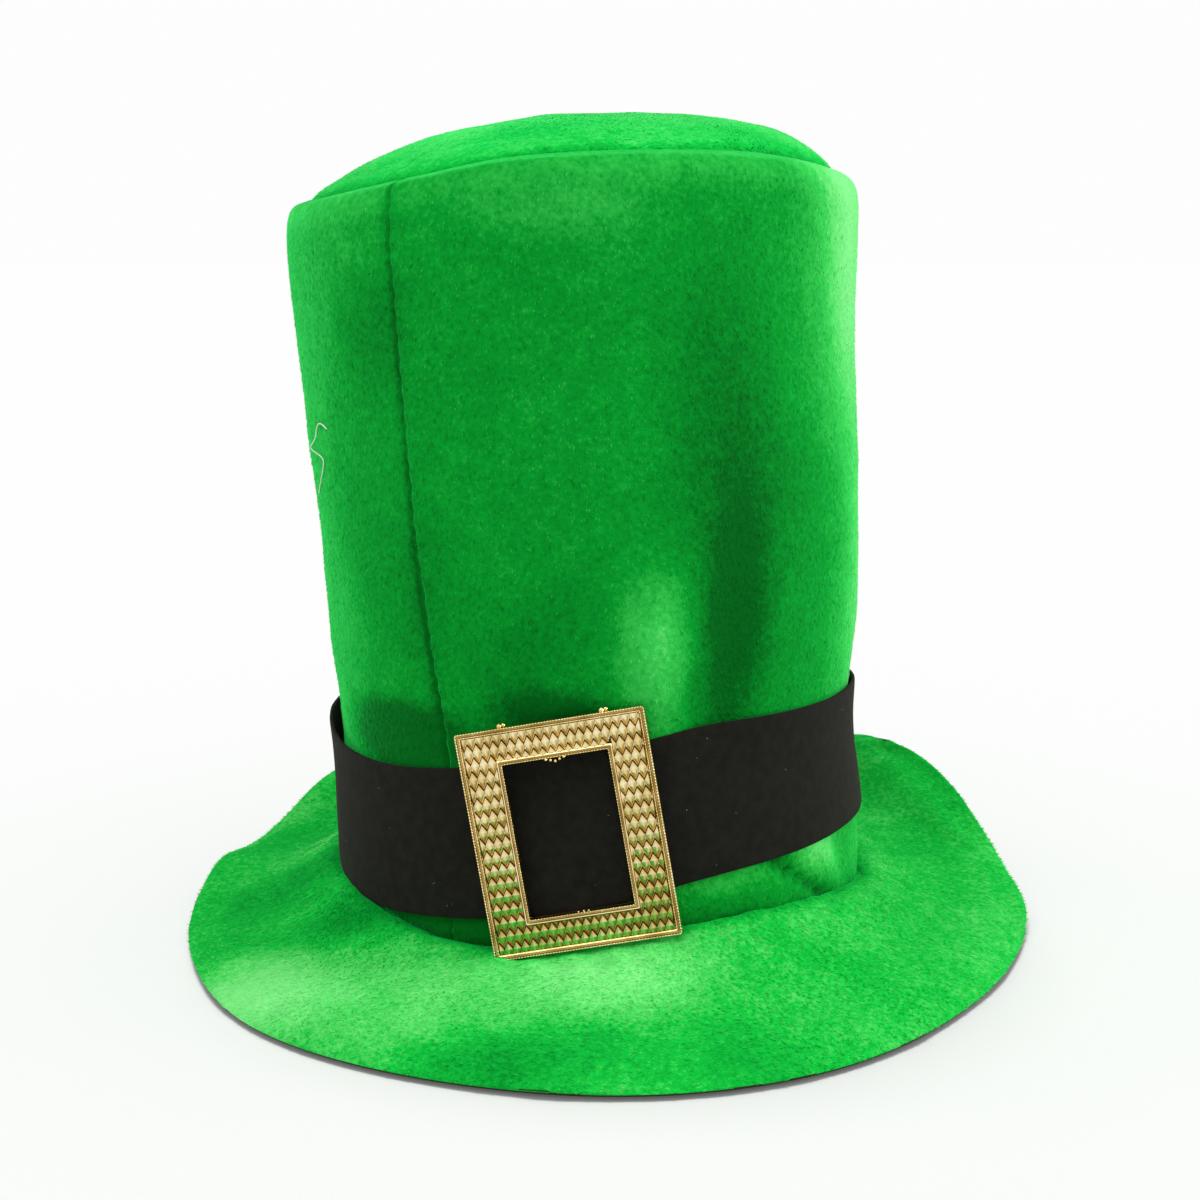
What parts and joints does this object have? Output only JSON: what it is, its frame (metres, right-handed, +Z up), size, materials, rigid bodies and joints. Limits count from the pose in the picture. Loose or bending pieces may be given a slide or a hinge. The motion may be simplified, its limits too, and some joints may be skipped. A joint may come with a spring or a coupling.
{
  "type": "leprechaun hat",
  "caption": "Tall soft velvet costume hat, green, with a padded wavy brim, a black felt band and a gilt relief buckle.",
  "frame": {"origin": "middle of the hat's outline, on the surface that the brim rests on", "axes": "+Z up, the front with the buckle towards -Y, +X to the viewer's right"},
  "size_m": [0.3162, 0.3344, 0.296],
  "materials": {
    "velvet": "green plush velvet on thin foam, upright pile",
    "velvet_tip": "green plush velvet on thin foam, pile seen from above",
    "velvet_brim": "green plush velvet over padding",
    "felt": "black needled felt, matt, a little lint",
    "gilt": "moulded buckle with a bright gilt plating"
  },
  "bodies": {
    "root": {"crown_side": "velvet", "crown_tip": "velvet_tip", "brim": "velvet_brim", "hat_band": "felt", "buckle": "gilt"}
  },
  "joints": []
}
